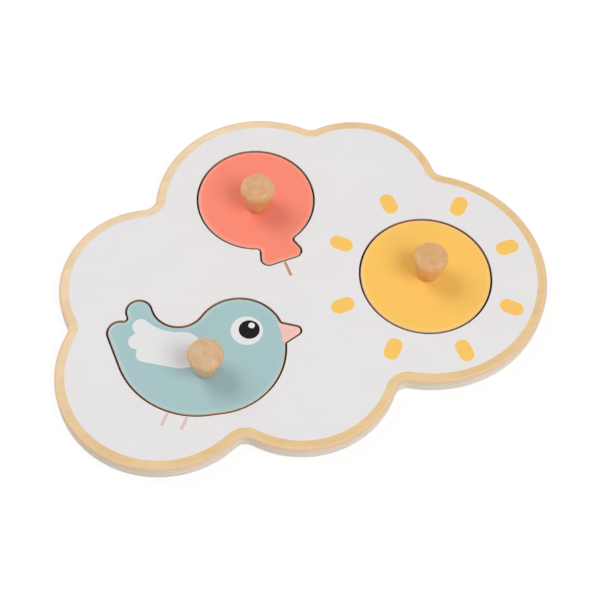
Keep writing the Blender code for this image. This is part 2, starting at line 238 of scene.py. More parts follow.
def size_property(name, description, default):
    """A length that a user may change."""
    return FloatProperty(
        name=name,
        description=description,
        default=default,
        min=0.0,
        precision=4,
        unit="LENGTH",
        subtype="DISTANCE",
    )


def angle_property(name, description, degrees):
    """An angle that a user may change."""
    return FloatProperty(
        name=name,
        description=description,
        default=math.radians(degrees),
        unit="ROTATION",
        subtype="ANGLE",
    )


def colour_property(name, description, default):
    """A linear colour that a user may change."""
    return FloatVectorProperty(
        name=name,
        description=description,
        default=default,
        min=0.0,
        max=1.0,
        size=3,
        subtype="COLOR",
    )


class PUZZLE_PG_board(PropertyGroup):
    """Sizes and colours of the board"""

    border: size_property("Bare border", "Width of the bare wood round the printed field", 0.0060)
    notch: size_property("Notch radius", "Radius of the hollow between two lobes", 0.0080)
    rounding: size_property("Edge rounding", "Rounding of the board's sanded edges", 0.0018)
    recess_rounding: size_property("Recess rounding", "Rounding of the recesses' rims", 0.0002)
    saw_gap: size_property("Saw gap", "Gap between a piece and its recess", 0.0012)
    print_colour: colour_property("Print", "Pale field of the board", srgb(234, 231, 232))
    veneer_light: colour_property("Veneer, light", "Bare face veneer", srgb(247, 222, 188))
    veneer_dark: colour_property("Veneer, dark", "Grain of the face veneer", srgb(236, 208, 172))
    veneer_rim: colour_property("Veneer, rounding", "Veneer sanded round", srgb(241, 210, 172))
    edge_light: colour_property("Plywood edge, light", "Long-grain plies", srgb(251, 245, 236))
    edge_warm: colour_property("Plywood edge, warm", "Ply under the veneer", srgb(243, 226, 206))
    edge_dark: colour_property("Plywood edge, dark", "End-grain plies", srgb(234, 218, 198))
    sawn_light: colour_property("Saw cut, top", "Upper part of a sawn wall", srgb(214, 172, 128))
    # The dark bottom of a sawn wall is partly scorched wood and partly painted shade deep in the
    # gap.
    sawn_dark: colour_property("Saw cut, bottom", "Scorched part of a wall", srgb(54, 27, 13))


class PUZZLE_PG_rays(PropertyGroup):
    """The sun's printed rays"""

    count: IntProperty(name="Rays", description="Number of printed rays", default=8, min=1)
    centre: size_property("Ray place", "Distance of a ray's middle from the sun's centre", 0.0549)
    length: size_property("Ray length", "Length of a ray over its round ends", 0.0145)
    width: size_property("Ray width", "Width of a ray", 0.0093)
    first: angle_property("First ray", "Direction of the first ray from +X", 102.7)
    colour: colour_property("Ray colour", "Yellow of the rays", srgb(252, 201, 103))


class PUZZLE_PG_pieces(PropertyGroup):
    """Sizes and colours of the pieces that lift out"""

    rounding: size_property("Lower rounding", "Rounding of a piece's lower edge", 0.0007)
    drop: size_property("Edge drop", "How far the sanded upper edge drops", 0.0006)
    sanded: size_property("Sanded width", "Width over which the upper edge is sanded", 0.0021)
    yellow: colour_property("Sun", "Print of the sun", srgb(252, 199, 98))
    coral: colour_property("Balloon", "Print of the balloon", srgb(252, 141, 118))
    teal: colour_property("Bird", "Print of the bird", srgb(168, 199, 201))
    white: colour_property("Wing", "Print of the bird's wing", srgb(232, 232, 232))
    pink: colour_property("Beak", "Print of the bird's beak", srgb(246, 196, 186))
    black: colour_property("Eye", "Print of the bird's eye", srgb(12, 12, 14))
    string: colour_property("String", "Printed string below the balloon", srgb(195, 148, 120))
    legs: colour_property("Legs", "Printed legs below the bird", srgb(225, 194, 192))


class PUZZLE_PG_knobs(PropertyGroup):
    """Sizes and colours of the turned knobs and their screws"""

    foot_radius: size_property("Foot radius", "Radius of a knob where it meets its piece", 0.0066)
    foot_chamfer: size_property("Foot chamfer", "Chamfer of the foot's edge", 0.0006)
    lip_width: size_property("Lip width", "How far the lip swells out from the top's rim", 0.0029)
    lip_drop: size_property("Lip drop", "Depth of the widest place below the top", 0.0044)
    lip_slope: angle_property("Lip slope", "Slope of the lip just below the rim", 28.0)
    rim_rounding: size_property("Rim rounding", "Rounding of the top's rim", 0.0008)
    dish: size_property("Dish", "Depth of the top's shallow dish", 0.0003)
    mark_radius: size_property("Mark radius", "Radius of the lathe's mark in the top", 0.0006)
    mark_depth: size_property("Mark depth", "Depth of the lathe's mark", 0.0008)
    spigot_radius: size_property("Spigot radius", "Spigot glued into the piece", 0.0040)
    clearance: size_property("Clearance", "Gap round the spigot and the screw", 0.0003)
    # Each knob's colour is its beech with painted bounce light from its piece's print.
    sun_beech: colour_property("Sun's knob", "Beech of the sun's knob", srgb(233, 180, 121))
    balloon_beech: colour_property("Balloon's knob", "Beech of its knob", srgb(232, 179, 125))
    bird_beech: colour_property("Bird's knob", "Beech of the bird's knob", srgb(229, 190, 146))
    steel: colour_property("Screws", "Zinc-plated steel", (0.55, 0.55, 0.54))


class PUZZLE_PG_stage(PropertyGroup):
    """Camera"""

    aim: FloatVectorProperty(
        name="Aim",
        description="Point that the camera looks at",
        default=(-0.0017, -0.0192, 0.0111),
        size=3,
        subtype="XYZ",
        unit="LENGTH",
    )
    distance: size_property("Distance", "Camera's distance from its aim", 0.8536)
    azimuth: angle_property("Azimuth", "Turn of the camera from the front to the right", -13.0)
    elevation: angle_property("Elevation", "Camera's angle above the table", 60.37)
    roll: angle_property("Roll", "Turn of the camera about its line of sight", 4.03)
    lens: FloatProperty(name="Lens", description="Focal length", default=86.1, unit="CAMERA")


# Outlines: closed belts round circles (x, y, radius) that are met counter-clockwise. A circle
# of negative radius lies outside the belt and presses a hollow into it.


def with_next(items):
    """Each item with the one after it, and the last with the first."""
    return zip(items, [*items[1:], items[0]])


def tangent_angle(first, second):
    """Direction from the circles' centres to the line that touches both on its left side."""
    across = second[0] - first[0]
    along = second[1] - first[1]
    ratio = (first[2] - second[2]) / math.hypot(across, along)
    return math.atan2(along, across) - math.acos(max(-1.0, min(1.0, ratio)))


def belt_arcs(circles):
    """Start and sweep of the arc that a belt takes round each circle."""
    if len(circles) == 1:
        return [(0.0, math.tau)]
    leaving = [tangent_angle(circle, following) for circle, following in with_next(circles)]
    arcs = []
    for index, circle in enumerate(circles):
        start = leaving[index - 1]
        if circle[2] > 0.0:
            arcs.append((start, (leaving[index] - start) % math.tau))
        else:
            arcs.append((start, -((start - leaving[index]) % math.tau)))
    return arcs


def middle_of_arc(circles, index):
    """Middle of the arc that a belt takes round one of its circles."""
    start, sweep = belt_arcs(circles)[index]
    return Vector(on_circle(circles[index], start + sweep / 2.0))


def placed(circles, place, lean=0.0):
    """The same outline, turned by its lean about its own origin and moved to a place."""
    turn = Matrix.Rotation(lean, 2)
    moved = []
    for x, y, radius in circles:
        centre = turn @ Vector((x, y)) + Vector(place)
        moved.append((centre.x, centre.y, radius))
    return moved


def hollow_between(first, second, radius):
    """Hollow that touches two round parts, met one after the other counter-clockwise."""
    across = second[0] - first[0]
    along = second[1] - first[1]
    apart = math.hypot(across, along)
    reach_first = first[2] + radius
    reach_second = second[2] + radius
    share = (reach_first**2 - reach_second**2 + apart**2) / (2.0 * apart)
    offset = math.sqrt(max(reach_first**2 - share**2, 0.0))
    x = first[0] + (share * across + offset * along) / apart
    y = first[1] + (share * along - offset * across) / apart
    return (x, y, -radius)


def on_circle(circle, angle, radius=0.0):
    """Point at an angle round a circle, and a radius further out."""
    reach = circle[2] + radius
    return (circle[0] + reach * math.cos(angle), circle[1] + reach * math.sin(angle))


def hollow_on(circle, angle, radius):
    """Hollow that touches a round part at the given angle round its centre."""
    return (*on_circle(circle, angle, radius), -radius)


def capsule(start, end, width):
    """Bar with round ends, from the middle of one end to that of the other."""
    return [(start[0], start[1], width / 2.0), (end[0], end[1], width / 2.0)]


def cloud_circles(board):
    """Lobes of the board's outer edge, with a rounded notch between each two."""
    lobes = [(x, y, radius + board.border) for x, y, radius in CLOUD_LOBES]
    circles = []
    for lobe, following in with_next(lobes):
        circles += [lobe, hollow_between(lobe, following, board.notch)]
    return circles


def sun_circles():
    """The sun is one disc, in its solid's place."""
    middle = (SUN_LOW + SUN_HIGH) / 2.0
    return [(middle.x, middle.y, (SUN_HIGH.x - SUN_LOW.x) / 2.0)]


def balloon_circles():
    """The balloon's round part and its flared mouth."""
    corner_side = MOUTH_HALF_WIDTH - MOUTH_CORNER
    corner_drop = MOUTH_REACH - MOUTH_CORNER
    hollow_side = NECK_HALF_WIDTH + NECK_HOLLOW
    hollow_drop = math.sqrt((BALLOON_RADIUS + NECK_HOLLOW) ** 2 - hollow_side**2)
    circles = [
        (0.0, 0.0, BALLOON_RADIUS),
        (-hollow_side, -hollow_drop, -NECK_HOLLOW),
        (-corner_side, -corner_drop, MOUTH_CORNER),
        (corner_side, -corner_drop, MOUTH_CORNER),
        (hollow_side, -hollow_drop, -NECK_HOLLOW),
    ]
    return placed(circles, BALLOON_PLACE, BALLOON_LEAN)


def bird_circles():
    """Beak, head, nape, two tail tips, rump and breast, counter-clockwise from the beak."""
    circles = [
        (HEAD[0] + HEAD[2] + BEAK_LENGTH - BEAK_TIP_RADIUS, HEAD[1], BEAK_TIP_RADIUS),
        hollow_on(HEAD, BEAK_TOP_ANGLE, BEAK_HOLLOW),
        HEAD,
        hollow_between(HEAD, UPPER_TAIL, NAPE_HOLLOW),
        UPPER_TAIL,
        hollow_between(UPPER_TAIL, LOWER_TAIL, TAIL_HOLLOW),
        LOWER_TAIL,
        RUMP,
        BREAST,
        hollow_on(BREAST, BEAK_BASE_ANGLE, BEAK_HOLLOW),
    ]
    return placed(circles, BIRD_PLACE)


def wing_circles():
    """The root of the bird's wing and its three feathers."""
    circles = [WING_ROOT, hollow_between(WING_ROOT, FEATHERS[0], WING_HOLLOW), FEATHERS[0]]
    for first, second in zip(FEATHERS, FEATHERS[1:]):
        circles += [hollow_between(first, second, FEATHER_HOLLOW), second]
    return placed(circles, BIRD_PLACE)


def driver_circles(place):
    """Cross-shaped recess in a screw's head."""
    corner = DRIVER_HALF_WIDTH - DRIVER_CORNER
    reach = DRIVER_ARM - DRIVER_CORNER
    inner = DRIVER_HALF_WIDTH + DRIVER_CORNER
    arm = [
        (reach, -corner, DRIVER_CORNER),
        (reach, corner, DRIVER_CORNER),
        (inner, inner, -DRIVER_CORNER),
    ]
    circles = []
    for quarter in range(4):
        circles += placed(arm, place, quarter * math.pi / 2.0)
    return circles


# Meshes. An outline is drawn as a loop of points, each a vertex with its place on the outline
# and its way outwards, so that the loop can be carried on to other offsets and heights.


def draw_outline(bm, circles, offset, height):
    """Closed loop of edges round circles, grown by an offset, at a height."""
    outline = []
    for (x, y, radius), (start, sweep) in zip(circles, belt_arcs(circles)):
        steps = max(2, math.ceil(abs(sweep) * math.sqrt(abs(radius)) / ARC_FINENESS))
        centre = Vector((x, y, 0.0))
        first = Vector((*on_circle((x, y, radius), start), 0.0))
        last = Vector((*on_circle((x, y, radius), start + sweep), 0.0))
        arc = []
        if not outline:
            arc.append(bm.verts.new(first))
        elif (outline[-1][1] - first).length > WELD_DISTANCE:
            arc.append(bm.verts.new(first))
            bm.edges.new((outline[-1][0], arc[0]))
        opening = outline[0][1] if outline else first
        if (opening - last).length < WELD_DISTANCE:
            sweep *= (steps - 1) / steps
            steps -= 1
        seed = arc[0] if arc else outline[-1][0]
        before = len(bm.verts)
        bmesh.ops.spin(bm, geom=[seed], cent=centre, axis=(0, 0, 1), angle=sweep, steps=steps)
        bm.verts.ensure_lookup_table()
        arc += bm.verts[before:]
        outline += [(vert, vert.co.copy(), (vert.co - centre) / radius) for vert in arc]
    bm.edges.new((outline[-1][0], outline[0][0]))
    set_outline(outline, offset, height)
    return outline


def set_outline(outline, offset, height):
    """Move a loop to an offset from its outline, at a height."""
    for vert, place, outward in outline:
        vert.co = place + outward * offset
        vert.co.z = height


def loop_edges(bm, outline):
    """Edges along a closed loop."""
    return [bm.edges.get(pair) for pair in with_next([point[0] for point in outline])]


def fill(bm, outlines, material=0):
    """Flat face between an outer loop and those inside it."""
    edges = [edge for outline in outlines for edge in loop_edges(bm, outline)]
    made = bmesh.ops.triangle_fill(bm, edges=edges, use_beauty=True, normal=(0, 0, 1))
    for face in made["geom"]:
        if isinstance(face, bmesh.types.BMFace):
            face.material_index = material
            face.smooth = False


def carry(bm, outline, offset, height, material=0, smooth=True):
    """Extrude a loop to another offset and height, and return it there."""
    made = bmesh.ops.extrude_edge_only(bm, edges=loop_edges(bm, outline))["geom"]
    for face in made:
        if isinstance(face, bmesh.types.BMFace):
            face.material_index = material
            face.smooth = smooth
    new_parts = set(made)
    carried = []
    for vert, place, outward in outline:
        ends = [edge.other_vert(vert) for edge in vert.link_edges]
        carried.append((next(end for end in ends if end in new_parts), place, outward))
    set_outline(carried, offset, height)
    return carried


def strip(bm, outline, stations, material=0):
    """Carry a loop through (offset, height) stations, and return it at the last."""
    for offset, height in stations:
        outline = carry(bm, outline, offset, height, material)
    return outline


def draw_arc(bm, first, last, radius):
    """Arc of edges between two points, bulging to the right; returns the points inside it."""
    start = first[0].co.copy()
    half = (last[0].co - start) / 2.0
    side = Vector((half.y, -half.x, 0.0)).normalized()
    centre = start + half - side * math.sqrt(radius**2 - half.length_squared)
    step = 2.0 * math.asin(half.length / radius) / ARC_STEPS
    turn = Matrix.Rotation(step, 3, "Z")
    seed = bm.verts.new(centre + turn @ (start - centre))
    bm.edges.new((first[0], seed))
    before = len(bm.verts)
    steps = ARC_STEPS - 2
    bmesh.ops.spin(bm, geom=[seed], cent=centre, axis=(0, 0, 1), angle=step * steps, steps=steps)
    bm.verts.ensure_lookup_table()
    arc = [seed, *bm.verts[before:]]
    bm.edges.new((arc[-1], last[0]))
    return [(vert, vert.co.copy(), side) for vert in arc]


def quarter_round(radius, height, upwards=True, inwards=True, width=0.0):
    """Stations of a rounded edge, from the wall to the flat face at a height."""
    side = -(width or radius) if inwards else radius
    rise = 1.0 if upwards else -1.0
    stations = []
    for step in range(ROUNDING_STEPS + 1):
        angle = math.pi / 2.0 * step / ROUNDING_STEPS
        offset = side * (1.0 - math.cos(angle))
        stations.append((offset, height - rise * radius * (1.0 - math.sin(angle))))
    return stations


def turned_mesh(profile, axis, steps):
    """Closed mesh turned about a vertical axis from a profile of (radius, height)."""
    bm = bmesh.new()
    verts = [bm.verts.new((axis.x + radius, axis.y, height)) for radius, height in profile]
    for upper, lower in zip(verts, verts[1:]):
        bm.edges.new((upper, lower))
    geometry = bm.verts[:] + bm.edges[:]
    bmesh.ops.spin(
        bm, geom=geometry, cent=axis, axis=(0, 0, 1), angle=math.tau, steps=steps, use_merge=True
    )
    bmesh.ops.remove_doubles(bm, verts=bm.verts, dist=WELD_DISTANCE)
    for face in bm.faces:
        face.smooth = True
    return bm


def cut_thread(bm, axis, bottom, top):
    """Ridge that winds round a screw's core from a height to another."""
    inside = axis.x + THREAD_ROOT - WELD_DISTANCE
    corners = (
        (inside, bottom),
        (axis.x + SCREW_SHANK_RADIUS, bottom + THREAD_WIDTH / 2.0),
        (inside, bottom + THREAD_WIDTH),
    )
    ridge = [bm.verts.new((x, axis.y, height)) for x, height in corners]
    edges = [bm.edges.new(pair) for pair in with_next(ridge)]
    turns = (top - bottom) / THREAD_PITCH - 1.0
    steps = math.floor(turns * THREAD_STEPS)
    rise = Vector((0.0, 0.0, THREAD_PITCH / THREAD_STEPS))
    angle = math.tau * steps / THREAD_STEPS
    before = len(bm.faces)
    made = bmesh.ops.spin(
        bm, geom=ridge + edges, cent=axis, axis=(0, 0, 1), dvec=rise, angle=angle, steps=steps
    )
    ends = [part for part in made["geom_last"] if isinstance(part, bmesh.types.BMVert)]
    bmesh.ops.contextual_create(bm, geom=ridge)
    bmesh.ops.contextual_create(bm, geom=ends)
    bm.faces.ensure_lookup_table()
    for face in bm.faces[before:]:
        face.smooth = True


def finish_piece(bm, name, body, node, materials):
    """Make a piece of a closed mesh, in the place of its solid and riding on its body."""
    if not all(edge.is_manifold for edge in bm.edges):
        raise RuntimeError(name + " is not closed")
    bmesh.ops.recalc_face_normals(bm, faces=bm.faces)
    mesh = bpy.data.meshes.new(name)
    bm.to_mesh(mesh)
    bm.free()
    for material in materials:
        mesh.materials.append(material)
    mesh.set_sharp_from_angle(angle=SHARP_ANGLE)
    piece = bpy.data.objects.new(name, mesh)
    bpy.context.scene.collection.objects.link(piece)
    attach(piece, body)
    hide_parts(node)


# Materials


def add_node(tree, kind, inputs=None, **settings):
    """Add a node, with its settings, and its inputs as values or as links."""
    node = tree.nodes.new(kind)
    for name, value in settings.items():
        setattr(node, name, value)
    for name, value in (inputs or {}).items():
        if isinstance(value, bpy.types.NodeSocket):
            tree.links.new(value, node.inputs[name])
        else:
            node.inputs[name].default_value = value
    return node


def new_material(name, specular):
    """A Principled material, with its node tree and its shader."""
    material = bpy.data.materials.new(name)
    material.use_nodes = True
    shader = material.node_tree.nodes["Principled BSDF"]
    shader.inputs["Specular IOR Level"].default_value = specular
    return material, material.node_tree, shader


def own_place(tree, centre=(0.0, 0.0, 0.0), size=(1.0, 1.0, 1.0), turn=0.0):
    """Place on the piece, from a centre and in units of a size, turned about Z."""
    place = add_node(tree, "ShaderNodeTexCoord").outputs["Object"]
    inputs = {"Vector": place, "Location": centre, "Rotation": (0.0, 0.0, turn), "Scale": size}
    return add_node(tree, "ShaderNodeMapping", inputs, vector_type="TEXTURE").outputs["Vector"]


def noise(tree, size, detail=2.0, turn=0.0):
    """Noise with features of a size along X, Y and Z of the piece."""
    inputs = {"Vector": own_place(tree, size=size, turn=turn), "Scale": 1.0, "Detail": detail}
    return add_node(tree, "ShaderNodeTexNoise", inputs).outputs["Fac"]


def tones(tree, factor, stops):
    """Colours at (position, colour) stops along a factor."""
    ramp = add_node(tree, "ShaderNodeValToRGB", {"Fac": factor})
    elements = ramp.color_ramp.elements
    while len(elements) < len(stops):
        elements.new(1.0)
    for element, (position, colour) in zip(elements, stops):
        element.position = position
        element.color = (*colour, 1.0)
    return ramp.outputs["Color"]


def times(tree, colours):
    """Product of colours."""
    product = colours[0]
    for colour in colours[1:]:
        inputs = {"Fac": 1.0, "Color1": product, "Color2": colour}
        mix = add_node(tree, "ShaderNodeMixRGB", inputs, blend_type="MULTIPLY")
        product = mix.outputs["Color"]
    return product


def surface(parts, colours, factor, rough, smooth, depth=BUMP_DEPTH):
    """Colour a shader by a product of colours, with roughness and relief by a factor."""
    material, tree, shader = parts
    tree.links.new(times(tree, colours), shader.inputs["Base Color"])
    inputs = {"Value": factor, "To Min": rough, "To Max": smooth}
    span = add_node(tree, "ShaderNodeMapRange", inputs)
    tree.links.new(span.outputs["Result"], shader.inputs["Roughness"])
    bump = add_node(tree, "ShaderNodeBump", {"Height": factor, "Distance": depth})
    tree.links.new(bump.outputs["Normal"], shader.inputs["Normal"])
    return material


def shade_of(colour, factor):
    """A darker or lighter shade of a colour."""
    return tuple(min(level * factor, 1.0) for level in colour)


def print_material(name, colour, finish=PRINT_FINISH):
    """Matt print on sanded veneer, whose grain shows through it faintly."""
    rough, smooth, specular = finish
    parts = new_material(name, specular)
    tree = parts[1]
    cloudy = noise(tree, (0.030, 0.022, 0.030), detail=3.0)
    grain = noise(tree, (0.018, 0.0006, 0.0006), detail=4.0)
    ground = tones(tree, cloudy, ((0.3, shade_of(colour, 0.985)), (0.7, shade_of(colour, 1.01))))
    lines = tones(tree, grain, ((0.35, PRINT_GRAIN), (0.6, NO_TINT)))
    return surface(parts, (ground, lines), grain, rough, smooth, depth=BUMP_DEPTH / 2.0)


def veneer_material(name, light, dark):
    """Bare face veneer: grain streaks along X over patches of tone, with painted sheen palest at
    the back left.
    """
    parts = new_material(name, specular=0.3)
    tree = parts[1]
    patches = noise(tree, (0.024, 0.009, 0.02), detail=2.0, turn=math.radians(8.0))
    streaks = noise(tree, (0.050, 0.0009, 0.0009), detail=5.0)
    # Painted sheen of the back-left lamp: the veneer turns pale towards the back left.
    sheen_place = own_place(tree, centre=PAINTED_SHEEN_START, size=PAINTED_SHEEN_SPAN, turn=math.radians(135.0))
    painted_sheen = add_node(tree, "ShaderNodeTexGradient", {"Vector": sheen_place}).outputs["Fac"]
    ground = tones(tree, patches, ((0.3, dark), (0.68, light)))
    lines = tones(tree, streaks, ((0.3, NO_TINT), (0.75, VENEER_GRAIN)))
    sheen_tint = tones(tree, painted_sheen, ((0.0, VENEER_LEAST_SHEEN), (1.0, NO_TINT)))
    return surface(parts, (ground, lines, sheen_tint), streaks, rough=0.68, smooth=0.52)


def edge_material(name, plies, blur=PLY_BLUR, specular=0.25):
    """Sanded edge of plywood: (height, colour) where each ply begins, and of the edge's top."""
    parts = new_material(name, specular)
    tree = parts[1]
    low = plies[0][0]
    high = plies[-1][0]
    wander = noise(tree, (0.030, 0.030, 0.030))
    height = add_node(tree, "ShaderNodeSeparateXYZ", {"Vector": own_place(tree)}).outputs["Z"]
    inputs = {0: wander, 1: PLY_WANDER, 2: height}
    uneven = add_node(tree, "ShaderNodeMath", inputs, operation="MULTIPLY_ADD").outputs[0]
    lift = PLY_WANDER / 2.0
    span = {"Value": uneven, "From Min": low + lift, "From Max": high + lift}
    level = add_node(tree, "ShaderNodeMapRange", span).outputs["Result"]
    stops = [(0.0, plies[0][1])]
    for (_start, below), (start, above) in zip(plies, plies[1:]):
        position = (start - low) / (high - low)
        stops.append((position - blur / 2.0, below))
        stops.append((min(position + blur / 2.0, 1.0), above))
    banded = tones(tree, level, stops)
    patches = noise(tree, (0.014, 0.014, 0.0012))
    fibres = noise(tree, (0.0012, 0.0012, 0.0004), detail=4.0)
    ground = tones(tree, patches, ((0.3, PLY_PATCH), (0.7, NO_TINT)))
    speckle = tones(tree, fibres, ((0.3, PLY_FIBRE), (0.65, NO_TINT)))
    return surface(parts, (banded, ground, speckle), fibres, rough=0.72, smooth=0.58)


def sawn_material(name, low, high, dark, light):
    """Wall of a saw cut, darker towards its bottom with scorched wood and painted shade of the
    gap.
    """
    plies = [(low, dark)]
    for share, shade in SCORCH_AND_SHADE_FADING:
        plies.append((low + share * (high - low), shade_of(light, shade)))
    plies.append((high, light))
    return edge_material(name, plies, SCORCH_AND_SHADE_BLUR, SAWN_SPECULAR)


def beech_material(name, colour, pith, turn):
    """Turned beech, upright in the log: growth rings round a pith, slow patches and pores."""
    parts = new_material(name, specular=0.5)
    tree = parts[1]
    inputs = {
        "Vector": own_place(tree, centre=pith, size=(1.0, 1.0, 6.0), turn=turn),
        "Scale": 180.0,
        "Distortion": 3.0,
        "Detail": 3.0,
        "Detail Scale": 0.5,
    }
    rings = add_node(tree, "ShaderNodeTexWave", inputs, wave_type="RINGS", rings_direction="Z")
    patches = noise(tree, (0.005, 0.003, 0.02), detail=3.0, turn=turn)
    pores = noise(tree, (0.0005, 0.0005, 0.006), detail=3.0)
    warm = [level * tint for level, tint in zip(colour, WARM_PATCH)]
    ground = tones(tree, patches, ((0.32, warm), (0.62, shade_of(colour, 1.05))))
    bands = tones(tree, rings.outputs["Fac"], ((0.35, NO_TINT), (0.95, LATE_WOOD)))
    flecks = tones(tree, pores, ((0.28, BEECH_PORE), (0.5, NO_TINT)))
    colours = (ground, bands, flecks)
    return surface(parts, colours, pores, rough=0.40, smooth=0.30, depth=BUMP_DEPTH / 2.0)


def steel_material(name, colour):
    """Zinc-plated steel, faintly mottled."""
    parts = new_material(name, specular=0.5)
    parts[2].inputs["Metallic"].default_value = 1.0
    tree = parts[1]
    scuffs = noise(tree, (0.0008, 0.0008, 0.0002), detail=3.0)
    ground = tones(tree, scuffs, ((0.3, shade_of(colour, 0.85)), (0.7, shade_of(colour, 1.1))))
    return surface(parts, (ground,), scuffs, rough=0.42, smooth=0.28, depth=BUMP_DEPTH / 6.0)


# Pieces


class PUZZLE_OT_board(Operator):
    """Build the backing panel and the printed face panel with its three recesses"""

    bl_idname = "puzzle.board"
    bl_label = "Board"

    def execute(self, context):
        board = context.scene.puzzle_board
        veneer = veneer_material("bare_veneer", board.veneer_light, board.veneer_dark)
        self.build_backing(board, veneer)
        self.build_face(board, context.scene.puzzle_rays, context.scene.puzzle_pieces, veneer)
        return {"FINISHED"}

    def build_backing(self, board, veneer):
        """Lower layer, rounded round its underside."""
        colours = (board.edge_light, board.edge_dark, board.edge_light, board.edge_light)
        edge = edge_material("backing_edge", list(zip(BACKING_PLIES, colours)))
        bm = bmesh.new()
        top = draw_outline(bm, cloud_circles(board), 0.0, BACKING_HIGH.z)
        underside = quarter_round(board.rounding, BACKING_LOW.z, upwards=False)
        bottom = strip(bm, top, underside, BACKING_EDGE)
        fill(bm, [top], BACKING_VENEER)
        fill(bm, [bottom], BACKING_VENEER)
        materials = (veneer, edge)
        finish_piece(bm, "backing_panel_bare", "board", "backing_panel", materials)

    def build_face(self, board, rays, colours, veneer):
        """Upper layer: bare border, printed field, rays, string and legs, and three recesses."""
        crossed = (board.edge_dark, board.edge_light, board.edge_dark, board.edge_warm)
        plies = list(zip(FACE_PLIES, (*crossed, board.veneer_rim, board.veneer_rim)))
        bm = bmesh.new()
        cloud = cloud_circles(board)
        outer = draw_outline(bm, cloud, 0.0, FACE_LOW.z)
        recesses = []
        for piece in (sun_circles(), balloon_circles(), bird_circles()):
            recess = [(x, y, radius + board.saw_gap) for x, y, radius in piece]
            recesses.append(draw_outline(bm, recess, 0.0, FACE_LOW.z))
        motifs = []
        for circles, material in self.printed_motifs(board, rays):
            motifs.append(draw_outline(bm, circles, 0.0, BOARD_TOP))
            fill(bm, motifs[-1:], material)
        fill(bm, [outer, *recesses], BORDER)
        top_edge = strip(bm, outer, quarter_round(board.rounding, BOARD_TOP), FACE_EDGE)
        field = carry(bm, top_edge, -board.border, BOARD_TOP, BORDER, smooth=False)
        rims = []
        rounding = quarter_round(board.recess_rounding, BOARD_TOP, inwards=False)
        for recess in recesses:
            wall_top = carry(bm, recess, *rounding[0], SAWN_WALL)
            rims.append(strip(bm, wall_top, rounding[1:], FIELD))
        fill(bm, [field, *rims, *motifs], FIELD)
        materials = (
            print_material("pale_print", board.print_colour),
            veneer,
            edge_material("face_edge", plies),
            sawn_material("sawn_wall", FACE_LOW.z, BOARD_TOP, board.sawn_dark, board.sawn_light),
            print_material("ray_print", rays.colour),
            print_material("string_print", colours.string),
            print_material("leg_print", colours.legs),
        )
        finish_piece(bm, "face_panel_printed", "board", "face_panel", materials)

    def printed_motifs(self, board, rays):
        """Outlines of the rays, the string and the legs, with their material numbers."""
        motifs = []
        sun = sun_circles()[0]
        for index in range(rays.count):
            angle = rays.first + math.tau * index / rays.count + STRAY_RAYS.get(index, 0.0)
            along = Vector((math.cos(angle), math.sin(angle)))
            middle = Vector(sun[:2]) + along * rays.centre
            half = along * (rays.length - rays.width) / 2.0
            motifs.append((capsule(middle - half, middle + half, rays.width), RAY))
        clear = board.saw_gap + board.recess_rounding + PRINT_GAP
        down = Vector((math.sin(BALLOON_LEAN), -math.cos(BALLOON_LEAN)))
        start = Vector(BALLOON_PLACE) + down * (MOUTH_REACH + clear + STRING_WIDTH / 2.0)
        motifs.append((capsule(start, start + down * STRING_LENGTH, STRING_WIDTH), STRING))
        rump = placed([RUMP], BIRD_PLACE)[0]
        slant = Vector((math.cos(LEG_SLANT), math.sin(LEG_SLANT)))
        for angle in LEG_ANGLES:
            start = Vector(on_circle(rump, angle, clear + LEG_WIDTH / 2.0))
            motifs.append((capsule(start, start + slant * LEG_LENGTH, LEG_WIDTH), LEG))
        return motifs


